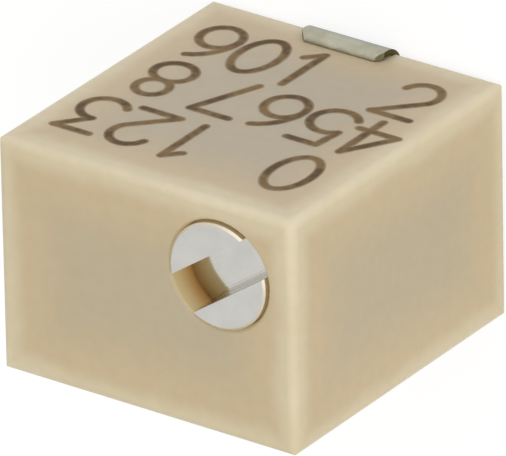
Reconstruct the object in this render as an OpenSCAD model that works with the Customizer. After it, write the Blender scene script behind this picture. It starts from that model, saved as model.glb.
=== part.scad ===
// Sealed multi-turn trimmer potentiometer for surface mounting.
// Z is the axis of the adjustment screw, up from the board. The marked front faces -Y.
// The origin is the middle of the footprint, on the board.

/* [Body] */
// Length of the body along its front
body_l = 4.8; // [4.75:0.05:6]
// Depth of the body from front to back
body_w = 3.5; // [3.4:0.05:4.5]
// Height of the body alone
body_h = 5; // [4.9:0.05:6.5]
// Gap between the board and the body
standoff = 0.05; // [0:0.01:0.08]
// Radius of the outer edges
edge_r = 0.13; // [0.04:0.01:0.16]
// Thickness of the front, side and top walls round the mechanism
wall = 0.4; // [0.3:0.05:0.42]
// Thickness of the floor under the mechanism
floor_t = 0.55; // [0.45:0.05:0.7]
// Thickness of the rim round the back opening
rim_t = 0.3; // [0.2:0.05:0.38]
// Thickness of the rib between neighbouring pockets
rib_t = 0.25; // [0.15:0.05:0.4]

/* [Adjustment screw] */
// Distance of the screw's axis from the left face
screw_inset_x = 1.2; // [1.15:0.05:1.4]
// Distance of the screw's axis from the front face
screw_inset_y = 1.1; // [1.05:0.05:1.25]
// Radius of the screw's head
head_r = 0.77; // [0.7:0.01:0.8]
// Radial gap between the head and its bore
head_gap = 0.025; // [0.02:0.005:0.08]
// Rounding of the bore's mouth
mouth_r = 0.05; // [0.01:0.01:0.08]
// Height of the head, from its top to the seal groove
head_h = 0.95; // [0.75:0.05:1.05]
// Height of the head's top over the top of the body
head_proud = 0.05; // [0:0.005:0.06]
// Chamfer of the head's rim
head_chamfer = 0.03; // [0.01:0.01:0.06]
// Width of the driver slot
slot_w = 0.59; // [0.4:0.01:0.7]
// Depth of the driver slot
slot_d = 0.48; // [0.3:0.02:0.6]
// Direction of the driver slot, turned from the body's length
slot_angle = 35; // [0:5:180]
// Height of the groove that holds the seal ring
seal_groove_h = 0.36; // [0.3:0.02:0.44]
// Radius of the screw inside the seal groove
seal_groove_r = 0.5; // [0.45:0.01:0.56]
// Roundness of the squeezed seal ring, as the corner's share of its section
ring_squash = 0.4; // [0.2:0.05:0.45]
// Height of the collar between the seal groove and the clip groove
collar_h = 0.2; // [0.12:0.02:0.24]
// Radius of the screw inside the clip groove
clip_groove_r = 0.44; // [0.38:0.01:0.48]
// Radius of the shank between the clip groove and the worm
shank_r = 0.6; // [0.54:0.01:0.62]
// Radius of the pilot at the screw's lower end
pilot_r = 0.27; // [0.2:0.01:0.28]
// Depth of the pilot's blind bore in the floor
pilot_depth = 0.3; // [0.2:0.05:0.4]
// Radial running gap of the pilot
pilot_gap = 0.02; // [0.01:0.005:0.03]

/* [Worm drive] */
// Number of starts of the worm
worm_starts = 2; // [1:1:2]
// Number of teeth of the worm wheel
wheel_teeth = 14; // [12:1:14]
// Module of the teeth
tooth_module = 0.17; // [0.15:0.001:0.172]
// Pitch radius of the worm
worm_pitch_r = 0.5; // [0.45:0.01:0.52]
// Length of the thread
worm_l = 2; // [1.6:0.1:2]
// Pressure angle of the flanks
pressure_angle = 25; // [20:1:28]
// Height of a tooth above the pitch line, in modules
addendum = 0.85; // [0.7:0.05:0.95]
// Depth of a tooth below the pitch line, in modules
dedendum = 1.1; // [0.95:0.05:1.2]
// Play between the flanks at the pitch line
backlash = 0.03; // [0.02:0.005:0.06]
// Width of the wheel's teeth
wheel_face = 0.7; // [0.4:0.05:0.7]
// Running gap round the wheel
wheel_gap = 0.1; // [0.06:0.01:0.15]

/* [Rotor and wiper] */
// Radius of the fixed axle that the wheel turns on
axle_r = 0.28; // [0.2:0.01:0.32]
// Radial running gap of the wheel on its axle
axle_gap = 0.02; // [0.01:0.005:0.04]
// Radius of the wheel's hub
hub_r = 0.5; // [0.42:0.01:0.6]
// End gap between the hub and the front wall
end_gap = 0.02; // [0.01:0.005:0.05]
// Radius of the carrier behind the teeth
carrier_r = 0.9; // [0.85:0.01:0.95]
// Reach of the stop lug beyond the carrier
lug_reach = 0.28; // [0.2:0.01:0.3]
// Width of the stop lug, as an angle
lug_angle = 14; // [8:1:20]
// Turn of the wheel to each side of its middle
wheel_turn = 128.6; // [90:0.1:135]
// Thickness of the wiper's sheet
wiper_t = 0.06; // [0.04:0.01:0.08]
// Height of the wiper's fingers over the carrier
wiper_rise = 0.34; // [0.25:0.01:0.45]
// Length of a finger
finger_l = 0.56; // [0.4:0.02:0.6]
// Width of a finger
finger_w = 0.07; // [0.05:0.01:0.08]
// Distance between neighbouring fingers
finger_pitch = 0.1; // [0.09:0.01:0.11]
// Number of fingers on the resistive track
track_fingers = 3; // [1:1:3]
// Number of fingers on the collector
collector_fingers = 2; // [1:1:2]
// Radius of the studs that hold the wiper
stud_r = 0.1; // [0.06:0.01:0.12]

/* [Element] */
// Thickness of the ceramic substrate
substrate_t = 0.5; // [0.4:0.05:0.6]
// Gap round the substrate in its seat
substrate_gap = 0.05; // [0.03:0.01:0.1]
// Thickness of the printed layers
print_t = 0.03; // [0.02:0.005:0.04]
// Middle radius of the resistive track
track_r = 1.12; // [1:0.01:1.14]
// Width of the resistive track
track_w = 0.34; // [0.25:0.01:0.36]
// Middle radius of the collector
collector_r = 0.56; // [0.5:0.01:0.6]
// Width of the collector
collector_w = 0.26; // [0.2:0.01:0.3]
// Width of the printed leads
lead_print_w = 0.18; // [0.12:0.01:0.19]
// Thickness of the sealing compound behind the substrate
seal_t = 0.55; // [0.4:0.05:0.7]
// Depth of the sealing compound below the rim
seal_recess = 0.05; // [0:0.01:0.1]

/* [Terminals] */
// Thickness of the terminal strip
strip_t = 0.08; // [0.07:0.01:0.1]
// Width of the middle terminal at its hook
front_hook_w = 1.35; // [0.8:0.05:1.6]
// Width of the middle terminal under the body
front_strip_w = 0.5; // [0.4:0.05:0.55]
// Length of the wide end of the middle terminal under the body
front_pad_l = 0.7; // [0.4:0.05:1]
// Width of the two back terminals
back_hook_w = 0.8; // [0.5:0.05:0.9]
// Distance between the two back terminals, middle to middle
back_pitch = 2.3; // [2.1:0.05:2.6]
// Height of a hook over the board
hook_h = 0.5; // [0.4:0.02:0.8]
// Distance that a hook stands proud of the body
hook_proud = 0.13; // [0.12:0.01:0.2]
// Outer radius of a hook's bend
hook_r = 0.34; // [0.2:0.01:0.34]
// Cut of the corners at a hook's tip
tip_cut = 0.1; // [0.05:0.01:0.2]
// Gap between a hook's bend and the channel in the body over it
hook_relief = 0.02; // [0.01:0.01:0.05]
// Height of the clips that grip the substrate
clip_grip = 0.4; // [0.25:0.05:0.5]
// Gap between a terminal and its notch in the floor
notch_gap = 0.06; // [0.03:0.01:0.1]

/* [Retaining clip] */
// Thickness of the retaining clip
clip_t = 0.14; // [0.1:0.01:0.16]
// Width of the retaining clip
clip_w = 1.86; // [1.7:0.02:1.9]
// Working gap on each side of the retaining clip
clip_gap = 0.02; // [0.01:0.005:0.03]
// Length of the clip's legs in front of the screw's axis
clip_leg = 0.6; // [0.3:0.05:0.65]
// Length of the clip's bridge behind the screw's axis
clip_back = 0.85; // [0.7:0.05:0.95]

/* [Hidden] */
$fn = 64;
// Overrun of a cut past the face it opens
cut = 0.5;

// Heights and depths of the body
top_z = standoff + body_h;
front_y = -body_w / 2;
back_y = body_w / 2;
left_x = -body_l / 2;
right_x = body_l / 2;
floor_z = standoff + floor_t;

// Worm pair
screw_x = left_x + screw_inset_x;
screw_y = front_y + screw_inset_y;
wheel_pitch_r = tooth_module * wheel_teeth / 2;
wheel_tip_r = wheel_pitch_r + addendum * tooth_module;
wheel_root_r = wheel_pitch_r - dedendum * tooth_module;
wheel_base_r = wheel_pitch_r * cos(pressure_angle);
worm_tip_r = worm_pitch_r + addendum * tooth_module;
worm_root_r = worm_pitch_r - dedendum * tooth_module;
worm_lead = worm_starts * PI * tooth_module;
worm_turn = 360 * worm_l / worm_lead;
wheel_x = screw_x + worm_pitch_r + wheel_pitch_r;
wheel_pocket_r = wheel_tip_r + wheel_gap;
wheel_z = floor_z + wheel_gap + wheel_tip_r;
// Turn of the wheel's teeth across their width, equal to the worm's lead angle at the pitch line
wheel_twist = wheel_face * worm_lead / (2 * PI * worm_pitch_r) / wheel_pitch_r * 180 / PI;
flank_steps = 4;

// Levels of the screw, from its head down to its pilot
head_top_z = top_z + head_proud;
seal_groove_z = head_top_z - head_h - seal_groove_h;
clip_groove_h = clip_t + 2 * clip_gap;
clip_groove_z = seal_groove_z - collar_h - clip_groove_h;
bore_r = head_r + head_gap;
boss_z = clip_groove_z - clip_gap;
worm_pocket_r = worm_tip_r + wheel_gap;
pilot_z = floor_z - pilot_depth + end_gap;

// Gap that stands for contact under a spring's or a seal's pressure
contact_gap = 0.01;

// Start of a hook's bend behind the face of the body, and the height of its inner side in that face
bend_in = hook_r - hook_proud;
bend_inner_z = hook_r - sqrt(pow(hook_r - strip_t, 2) - pow(bend_in, 2));
// Radius of the tip that curls to the body, and where it starts above the bend
tip_r = hook_proud - contact_gap;
tip_z = max(hook_h - tip_r, hook_r + contact_gap);

// Depths of the rotor and the element, front to back
substrate_y = back_y - seal_t - substrate_t;
print_y = substrate_y - print_t;
wheel_front_y = screw_y - wheel_face / 2;
wheel_back_y = screw_y + wheel_face / 2;
wiper_y = print_y - contact_gap - wiper_rise;
carrier_t = wiper_y - wheel_back_y;
hub_y = front_y + wall + end_gap;
axle_y = wheel_back_y;

// Substrate and its seat
substrate_z = standoff + rim_t + strip_t + substrate_gap;
substrate_l = body_l - 2 * rim_t - 2 * substrate_gap;
substrate_h = top_z - rim_t - substrate_gap - substrate_z;
notch_y = print_y - strip_t - notch_gap;
up = 90;

// Fingers of the wiper peak at this share of their length
finger_swing = 125;
finger_peak = 90 / finger_swing;
finger_steps = 10;

function polar(r, a) = [r * cos(a), r * sin(a)];

// Angle in degrees between a point of an involute at radius r and the involute's start
function involute_angle(base, r) = let (a = acos(base / r)) tan(a) * 180 / PI - a;

// Half of a wheel tooth at radius r, as an angle
function wheel_half(r) =
    90 / wheel_teeth - backlash / wheel_pitch_r * 45 / PI
    + involute_angle(wheel_base_r, wheel_pitch_r)
    - involute_angle(wheel_base_r, max(r, wheel_base_r));

// Half of a worm thread at radius r, as an angle seen along the screw
function worm_half(r) =
    180 / worm_lead * (PI * tooth_module / 2 - backlash / 2
    - 2 * (r - worm_pitch_r) * tan(pressure_angle));

// Radius at step k of a flank that runs from the root to the tip
function flank_r(root, tip, k) = root + (tip - root) * k / flank_steps;

wheel_outline = [for (tooth = [0:wheel_teeth - 1], side = [-1, 1], k = [0:flank_steps])
    let (step = side < 0 ? k : flank_steps - k, r = flank_r(wheel_root_r, wheel_tip_r, step))
    polar(r, tooth * 360 / wheel_teeth + side * wheel_half(r))];

worm_outline = [for (start = [0:worm_starts - 1]) let (middle = up + start * 360 / worm_starts)
    each concat(
        [for (k = [0:flank_steps]) let (r = flank_r(worm_root_r, worm_tip_r, k))
            polar(r, middle - worm_half(r))],
        [for (f = [-0.5, 0, 0.5]) polar(worm_tip_r, middle + f * 2 * worm_half(worm_tip_r))],
        [for (k = [0:flank_steps]) let (r = flank_r(worm_tip_r, worm_root_r, k))
            polar(r, middle + worm_half(r))],
        [polar(worm_root_r, middle + 180 / worm_starts)])];

// Side view of a wiper finger: up from the sheet, over its contact point and down a little
finger_path = [for (i = [0:finger_steps]) let (f = i / finger_steps)
    [finger_l * (f - finger_peak), (wiper_rise - wiper_t) * sin(finger_swing * f)]];

// Rectangle with round corners, from its lower left corner
module rounded_square(size, r) {
    translate([r, 0]) square([size[0] - 2 * r, size[1]]);
    translate([0, r]) square([size[0], size[1] - 2 * r]);
    for (x = [r, size[0] - r], y = [r, size[1] - r]) translate([x, y]) circle(r);
}

// Block with every outer edge rounded, centred in X and Y
module rounded_block(size, r) {
    intersection() {
        linear_extrude(size[2])
            translate([-size[0] / 2, -size[1] / 2]) rounded_square([size[0], size[1]], r);
        translate([0, size[1] / 2, 0]) rotate([90, 0, 0]) linear_extrude(size[1])
            translate([-size[0] / 2, 0]) rounded_square([size[0], size[2]], r);
        translate([-size[0] / 2, 0, 0]) rotate([90, 0, 90]) linear_extrude(size[0])
            translate([-size[1] / 2, 0]) rounded_square([size[1], size[2]], r);
    }
}

// Box from one corner to the opposite one
module span(low, high) {
    translate(low) cube(high - low);
}

// Flat shape drawn in X and Z, thickened from y to y + t
module plate(y, t) {
    translate([0, y + t, 0]) rotate([90, 0, 0]) linear_extrude(t) children();
}

// The same, drawn about the wheel's axis
module wheel_plate(y, t) {
    plate(y, t) translate([wheel_x, wheel_z]) children();
}

// Flat shape drawn in Y and Z, thickened along X about x
module strip(x, w) {
    translate([x - w / 2, 0, 0]) rotate([90, 0, 90]) linear_extrude(w) children();
}

// Shape extruded along Z about its middle, where it isn't turned
module helix(height, turn, slices) {
    translate([0, 0, -height / 2]) rotate([0, 0, -turn / 2])
        linear_extrude(height, twist = -turn, slices = slices, segments = 1) children();
}

// Part of a flat ring between two angles
module sector(r_in, r_out, from, to) {
    steps = 12;
    intersection() {
        difference() {
            circle(r_out);
            circle(r_in);
        }
        polygon(concat([[0, 0]],
            [for (i = [0:steps]) polar(2 * r_out, from + (to - from) * i / steps)]));
    }
}

// Straight print with round ends between two points
module lead_print(a, b) {
    d = b - a;
    translate(a) rotate(atan2(d[1], d[0])) translate([0, -lead_print_w / 2])
        square([norm(d), lead_print_w]);
    for (p = [a, b]) translate(p) circle(lead_print_w / 2);
}

// Quarter of a flat ring, for a bend of the strip; (sx, sy) is the quarter's side
module bend(r_out, sx, sy) {
    intersection() {
        difference() {
            circle(r_out);
            circle(r_out - strip_t);
        }
        translate([sx < 0 ? -r_out : 0, sy < 0 ? -r_out : 0]) square(r_out);
    }
}

// Side view of a hook on the +Y side of the body: foot, bend, leg and the tip curled to the body
module hook_profile(from_y) {
    leg_y = back_y + hook_proud;
    bend_y = back_y - bend_in;
    translate([from_y, 0]) square([bend_y - from_y, strip_t]);
    translate([bend_y, hook_r]) bend(hook_r, 1, -1);
    translate([leg_y - strip_t, hook_r]) square([strip_t, tip_z - hook_r]);
    translate([leg_y - tip_r, tip_z]) bend(tip_r, 1, 1);
}

// Hook of width w about x on the +Y side, with the corners of its tip cut off
module hook(x, w, from_y) {
    top = tip_z + tip_r;
    intersection() {
        strip(x, w) hook_profile(from_y);
        plate(from_y, back_y + hook_proud - from_y) translate([x, 0])
            polygon([[-w / 2, 0], [w / 2, 0], [w / 2, top - tip_cut], [w / 2 - tip_cut, top],
                [tip_cut - w / 2, top], [-w / 2, top - tip_cut]]);
    }
}

// Side view of the clip that grips the substrate's lower edge and runs down to the foot
module grip_profile() {
    back = substrate_y + substrate_t;
    web_z = substrate_z - strip_t;
    translate([print_y - strip_t, web_z]) square([back + strip_t - print_y + strip_t, strip_t]);
    translate([print_y - strip_t, web_z]) square([strip_t, clip_grip + strip_t]);
    translate([back, web_z]) square([strip_t, clip_grip + strip_t]);
    translate([back, 0]) square([strip_t, web_z]);
}

// Printed pad under a terminal's clip
module pad(x, w) {
    translate([x - w / 2, substrate_z]) square([w, clip_grip + lead_print_w]);
}

module back_terminal(x) {
    hook(x, back_hook_w, substrate_y + substrate_t);
    strip(x, back_hook_w) grip_profile();
}

// Notch that a terminal leaves the body through
module notch(x, w, top) {
    span([x - w / 2 - notch_gap, notch_y, strip_t],
        [x + w / 2 + notch_gap, back_y + cut, top]);
}

// Shape of the space that the retaining clip slides into, from the back
module clip_outline(gap, back) {
    translate([screw_x - clip_w / 2 - gap, screw_y - clip_leg - gap])
        square([clip_w + 2 * gap, back - screw_y + clip_leg + gap]);
}

// Half section of the screw's bore, h high up to the top of the body, with its rounded mouth
module bore_profile(h) {
    square([bore_r, h + cut]);
    difference() {
        translate([0, h - mouth_r]) square([bore_r + mouth_r, mouth_r + cut]);
        translate([bore_r + mouth_r, h - mouth_r]) circle(mouth_r);
    }
}

module housing() {
    stop_gap = 1;
    color([0.80, 0.73, 0.58]) {
        difference() {
            translate([0, 0, standoff]) rounded_block([body_l, body_w, body_h], edge_r);
            // Bore of the screw and the pilot's blind bore
            translate([screw_x, screw_y, boss_z - cut]) rotate_extrude() bore_profile(top_z - boss_z + cut);
            translate([screw_x, screw_y, floor_z - pilot_depth])
                cylinder(h = pilot_depth + cut, r = pilot_r + pilot_gap);
            // Pocket of the worm, open to the back
            translate([screw_x, screw_y, floor_z]) cylinder(h = boss_z - floor_z, r = worm_pocket_r);
            span([screw_x - worm_pocket_r, screw_y, floor_z],
                [screw_x + worm_pocket_r, substrate_y + cut, boss_z]);
            // Round pocket of the wheel
            wheel_plate(front_y + wall, substrate_y - front_y - wall + cut) circle(wheel_pocket_r);
            // Slot of the retaining clip
            translate([0, 0, clip_groove_z]) linear_extrude(clip_groove_h)
                clip_outline(clip_gap, substrate_y + cut);
            // Pocket that keeps the upper corner at an even thickness
            span([screw_x + bore_r + wall, front_y + wall, wheel_z + wheel_pocket_r + rib_t],
                [right_x - wall, substrate_y + cut, top_z - wall]);
            // Seat of the substrate and the room for the sealing compound
            span([left_x + rim_t, substrate_y, standoff + rim_t],
                [right_x - rim_t, back_y + cut, top_z - rim_t]);
            // Notches of the terminals and the channels that their feet lie in
            for (side = [-1, 1]) {
                notch(side * back_pitch / 2, back_hook_w, floor_z + cut);
                span([side * back_pitch / 2 - back_hook_w / 2 - notch_gap, notch_y, 0],
                    [side * back_pitch / 2 + back_hook_w / 2 + notch_gap, back_y + cut, strip_t]);
            }
            notch(0, front_strip_w, floor_z + cut);
            span([-front_strip_w / 2, front_y, 0], [front_strip_w / 2, back_y + cut, strip_t]);
            span([-front_hook_w / 2, front_y - cut, 0],
                [front_hook_w / 2, front_y + front_pad_l, strip_t]);
            span([-front_hook_w / 2, front_y - cut, 0],
                [front_hook_w / 2, front_y + bend_in, bend_inner_z + hook_relief]);
        }
        // Axle of the wheel, and the stop that its lug meets at each end of its turn
        wheel_plate(front_y + wall, axle_y - front_y - wall) circle(axle_r);
        wheel_plate(wheel_back_y + end_gap, carrier_t - 2 * end_gap)
            sector(carrier_r + wheel_gap / 2, wheel_pocket_r,
                up + wheel_turn + lug_angle / 2 + stop_gap,
                up + 360 - wheel_turn - lug_angle / 2 - stop_gap);
    }
}

module back_seal() {
    color([0.72, 0.66, 0.50]) difference() {
        union() {
            span([left_x + rim_t, substrate_y + substrate_t, standoff + rim_t],
                [right_x - rim_t, back_y - seal_recess, top_z - rim_t]);
            intersection() {
                union() {
                    for (side = [-1, 1])
                        notch(side * back_pitch / 2, back_hook_w, substrate_z - strip_t);
                    notch(0, front_strip_w, substrate_z - strip_t);
                }
                span([left_x, front_y, 0], [right_x, back_y - seal_recess, top_z]);
            }
        }
        terminal_1();
        terminal_2();
        terminal_3();
    }
}

module adjustment_screw() {
    worm_top = wheel_z + worm_l / 2;
    slices = 56;
    color([0.80, 0.80, 0.79]) translate([screw_x, screw_y, 0]) {
        // Head with its slot, seal groove, collar, clip groove and shank
        difference() {
            rotate_extrude() polygon([[0, worm_top],
                [shank_r, worm_top], [shank_r, clip_groove_z],
                [clip_groove_r, clip_groove_z], [clip_groove_r, clip_groove_z + clip_groove_h],
                [head_r, clip_groove_z + clip_groove_h], [head_r, seal_groove_z],
                [seal_groove_r, seal_groove_z], [seal_groove_r, seal_groove_z + seal_groove_h],
                [head_r, seal_groove_z + seal_groove_h], [head_r, head_top_z - head_chamfer],
                [head_r - head_chamfer, head_top_z], [0, head_top_z]]);
            rotate(slot_angle) span([-head_r - cut, -slot_w / 2, head_top_z - slot_d],
                [head_r + cut, slot_w / 2, head_top_z + cut]);
        }
        translate([0, 0, wheel_z]) helix(worm_l, worm_turn, slices) polygon(worm_outline);
        // Pilot, which runs on as the core of the thread and into the shank
        translate([0, 0, pilot_z]) cylinder(h = worm_top + shank_r / 4 - pilot_z, r = pilot_r);
    }
}

module seal_ring() {
    ring_w = bore_r - seal_groove_r - 2 * contact_gap;
    ring_h = seal_groove_h - 2 * contact_gap;
    color([0.25, 0.12, 0.08]) translate([screw_x, screw_y, seal_groove_z + contact_gap])
        rotate_extrude() translate([seal_groove_r + contact_gap, 0])
            rounded_square([ring_w, ring_h], ring_squash * min(ring_w, ring_h));
}

module retaining_clip() {
    slot_r = clip_groove_r + clip_gap;
    color([0.70, 0.70, 0.68]) translate([0, 0, clip_groove_z + clip_gap]) linear_extrude(clip_t)
        difference() {
            clip_outline(0, screw_y + clip_back);
            translate([screw_x, screw_y]) circle(slot_r);
            translate([screw_x - slot_r, screw_y - clip_leg - cut]) square([2 * slot_r, clip_leg + cut]);
        }
}

module worm_wheel() {
    slices = 6;
    color([0.88, 0.86, 0.80]) difference() {
        union() {
            translate([wheel_x, screw_y, wheel_z]) rotate([90, 0, 0])
                helix(wheel_face, wheel_twist, slices) polygon(wheel_outline);
            wheel_plate(hub_y, wheel_front_y - hub_y) circle(hub_r);
            wheel_plate(wheel_back_y, carrier_t) {
                circle(carrier_r);
                sector(0, carrier_r + lug_reach, up - lug_angle / 2, up + lug_angle / 2);
            }
            // Studs, headed over the wiper
            for (side = [-1, 1]) {
                wheel_plate(wiper_y, wiper_t) translate([side * hub_r / 2, 0]) circle(stud_r);
                wheel_plate(wiper_y + wiper_t, wiper_t) translate([side * hub_r / 2, 0])
                    circle(1.5 * stud_r);
            }
        }
        wheel_plate(hub_y - cut, axle_y + end_gap + cut - hub_y) circle(axle_r + axle_gap);
    }
}

// Row of fingers side by side, with their contact points at x = 0 and radius r
module fingers(count, r) {
    for (i = [0:count - 1])
        translate([0, r + (i - (count - 1) / 2) * finger_pitch - finger_w / 2, 0])
            translate([0, finger_w, 0]) rotate([90, 0, 0]) linear_extrude(finger_w)
                polygon(concat(finger_path,
                    [for (i = [finger_steps:-1:0]) finger_path[i] + [0, wiper_t]]));
}

module wiper() {
    root_x = finger_l * finger_peak;
    arm_w = 0.2;
    reach = track_r + track_fingers * finger_pitch / 2;
    inner_reach = collector_r + collector_fingers * finger_pitch / 2;
    color([0.80, 0.68, 0.35]) {
        wheel_plate(wiper_y, wiper_t) difference() {
            intersection() {
                union() {
                    circle(hub_r * 0.8);
                    translate([-root_x - arm_w, -arm_w]) square([arm_w * 1.2, reach + arm_w]);
                    translate([root_x - arm_w * 0.2, -inner_reach])
                        square([arm_w * 1.2, inner_reach + arm_w]);
                    translate([-root_x - arm_w, -arm_w]) square([2 * (root_x + arm_w), 2 * arm_w]);
                }
                circle(wheel_pocket_r - wheel_gap / 2);
            }
            for (side = [-1, 1]) translate([side * hub_r / 2, 0]) circle(stud_r);
        }
        translate([wheel_x, wiper_y, wheel_z]) rotate([-90, 0, 0]) {
            rotate(180) mirror([1, 0, 0]) fingers(track_fingers, track_r);
            mirror([1, 0, 0]) fingers(collector_fingers, collector_r);
        }
    }
}

module substrate() {
    color([0.93, 0.92, 0.88]) span([-substrate_l / 2, substrate_y, substrate_z],
        [substrate_l / 2, substrate_y + substrate_t, substrate_z + substrate_h]);
}

// Arc of the resistive track between two angles
module track_arc(from, to) {
    sector(track_r - track_w / 2, track_r + track_w / 2, from, to);
}

module resistive_track() {
    color([0.16, 0.15, 0.16]) wheel_plate(print_y, print_t)
        track_arc(up - wheel_turn, up + wheel_turn);
}

module collector_track() {
    ring_bottom = [wheel_x, wheel_z] + polar(collector_r, -up);
    color([0.72, 0.72, 0.72]) plate(print_y, print_t) {
        translate([wheel_x, wheel_z]) difference() {
            circle(collector_r + collector_w / 2);
            circle(collector_r - collector_w / 2);
        }
        lead_print(ring_bottom,
            [(front_strip_w - lead_print_w) / 2, substrate_z + clip_grip + lead_print_w / 2]);
        pad(0, front_strip_w);
    }
}

// End of the track on one side, its lead and its pad
module end_track(side) {
    end = 10;
    at = up - side * (wheel_turn + end / 2);
    color([0.72, 0.72, 0.72]) plate(print_y, print_t) {
        translate([wheel_x, wheel_z])
            track_arc(up - side * wheel_turn, up - side * (wheel_turn + end));
        difference() {
            lead_print([wheel_x, wheel_z] + polar(track_r, at),
                [side * back_pitch / 2, substrate_z + clip_grip + lead_print_w / 2]);
            translate([wheel_x, wheel_z]) track_arc(up - wheel_turn, up + wheel_turn);
        }
        pad(side * back_pitch / 2, back_hook_w);
    }
}

module terminal_1() {
    color([0.74, 0.74, 0.72]) back_terminal(-back_pitch / 2);
}

module terminal_2() {
    color([0.74, 0.74, 0.72]) {
        strip(0, front_strip_w) {
            grip_profile();
            translate([front_y + front_pad_l, 0])
                square([substrate_y + substrate_t + strip_t - front_y - front_pad_l, strip_t]);
        }
        mirror([0, 1, 0]) hook(0, front_hook_w, back_y - front_pad_l);
    }
}

module terminal_3() {
    color([0.74, 0.74, 0.72]) back_terminal(back_pitch / 2);
}

// Fillet of solder between a clip's upper edge and its pad
module solder_joint(x, w) {
    top = substrate_z + clip_grip;
    leg = strip_t;
    color([0.66, 0.66, 0.66]) strip(x, w - 2 * leg)
        polygon([[print_y, top], [print_y - leg, top], [print_y, top + 1.5 * leg]]);
}

module solder_joint_1() {
    solder_joint(-back_pitch / 2, back_hook_w);
}

module solder_joint_2() {
    solder_joint(0, front_strip_w);
}

module solder_joint_3() {
    solder_joint(back_pitch / 2, back_hook_w);
}

housing();
back_seal();
adjustment_screw();
seal_ring();
retaining_clip();
worm_wheel();
wiper();
substrate();
resistive_track();
collector_track();
end_track(-1);  // end_track_1
end_track(1);  // end_track_3
terminal_1();
terminal_2();
terminal_3();
solder_joint_1();
solder_joint_2();
solder_joint_3();
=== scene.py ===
"""Finishes and stage of a sealed trimmer potentiometer, laid out as an add-on.

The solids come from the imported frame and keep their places. Each operator gives one piece, or one
group of like pieces, its finish, and the last one makes the stage. Lengths are in metres, and
shaders work in millimetres.
"""

import math
from random import Random

import bmesh
import bpy
from bpy.props import FloatProperty, FloatVectorProperty, PointerProperty
from mathutils import Matrix, Vector, noise
from mathutils.geometry import delaunay_2d_cdt


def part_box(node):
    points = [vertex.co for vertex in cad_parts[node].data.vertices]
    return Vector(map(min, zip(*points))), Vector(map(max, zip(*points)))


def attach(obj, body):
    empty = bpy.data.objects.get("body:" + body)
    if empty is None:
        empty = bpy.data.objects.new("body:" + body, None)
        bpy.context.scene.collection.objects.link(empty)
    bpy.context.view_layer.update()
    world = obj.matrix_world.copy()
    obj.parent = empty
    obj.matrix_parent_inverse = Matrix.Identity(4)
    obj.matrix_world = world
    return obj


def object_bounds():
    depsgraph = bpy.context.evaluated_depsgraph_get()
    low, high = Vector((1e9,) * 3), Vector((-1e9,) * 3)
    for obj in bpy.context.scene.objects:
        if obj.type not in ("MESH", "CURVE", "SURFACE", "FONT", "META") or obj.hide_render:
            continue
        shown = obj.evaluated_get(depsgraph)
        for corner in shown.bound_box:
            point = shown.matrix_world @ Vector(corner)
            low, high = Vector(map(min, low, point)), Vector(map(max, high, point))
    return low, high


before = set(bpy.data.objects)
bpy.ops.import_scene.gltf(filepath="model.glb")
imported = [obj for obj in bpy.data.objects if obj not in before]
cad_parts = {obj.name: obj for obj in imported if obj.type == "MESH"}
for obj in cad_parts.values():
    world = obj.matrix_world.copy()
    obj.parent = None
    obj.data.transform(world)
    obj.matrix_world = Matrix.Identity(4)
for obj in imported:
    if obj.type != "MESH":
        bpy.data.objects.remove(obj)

CAD_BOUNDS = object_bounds()
MM = 0.001

bl_info = {
    "name": "Trimmer potentiometer finishes",
    "version": (1, 0, 0),
    "blender": (4, 5, 0),
    "location": "3D View > Sidebar > Trimmer",
    "description": "Finishes, marking and studio stage for a sealed trimmer potentiometer",
    "category": "Object",
}


# Places taken from the frame

HOUSING_LOW, HOUSING_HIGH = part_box("housing")
SCREW_LOW, SCREW_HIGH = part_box("adjustment_screw")
BODY_CENTRE = (HOUSING_LOW + HOUSING_HIGH) / 2
SCREW_AXIS = (SCREW_LOW + SCREW_HIGH) / 2
HEAD_RADIUS = (SCREW_HIGH.x - SCREW_LOW.x) / 2


def tone(red, green, blue):
    """Scene-linear colour of an sRGB swatch whose channels run from 0 to 255."""

    def linear(channel):
        """The sRGB curve of one channel, undone."""
        value = channel / 255
        return value / 12.92 if value <= 0.04045 else ((value + 0.055) / 1.055) ** 2.4

    return linear(red), linear(green), linear(blue)


def paint(name, description, red, green, blue):
    """Colour property whose default is a swatch."""
    return FloatVectorProperty(name=name, description=description, default=tone(red, green, blue),
                               size=3, min=0, max=1, subtype="COLOR")


def length(name, description, millimetres):
    """Length property whose default is given in millimetres."""
    return FloatProperty(name=name, description=description, default=millimetres * MM,
                         subtype="DISTANCE", unit="LENGTH", precision=6)


def share(name, description, default):
    """Property that runs from 0 to 1."""
    return FloatProperty(name=name, description=description, default=default, min=0, max=1,
                         subtype="FACTOR")


def angle(name, description, degrees):
    """Angle property whose default is given in degrees."""
    return FloatProperty(name=name, description=description, default=math.radians(degrees),
                         subtype="ANGLE", unit="ROTATION")


# Shader building

WHITE = (1, 1, 1)


class Socket:
    """Output socket of a shader's node. Arithmetic on it adds Math or Vector Math nodes."""

    def __init__(self, shader, socket):
        self.shader = shader
        self.socket = socket

    def math(self, operation, *others):
        """Result of an operation on this socket and the others."""
        return self.shader.math(operation, self, *others)

    def __add__(self, other):
        return self.math("ADD", other)

    def __radd__(self, other):
        return self.shader.math("ADD", other, self)

    def __sub__(self, other):
        return self.math("SUBTRACT", other)

    def __rsub__(self, other):
        return self.shader.math("SUBTRACT", other, self)

    def __mul__(self, other):
        return self.math("MULTIPLY", other)

    def __rmul__(self, other):
        return self.shader.math("MULTIPLY", other, self)

    def __truediv__(self, other):
        return self.math("DIVIDE", other)

    def __rtruediv__(self, other):
        return self.shader.math("DIVIDE", other, self)

    def __abs__(self):
        return self.math("ABSOLUTE")


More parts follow.
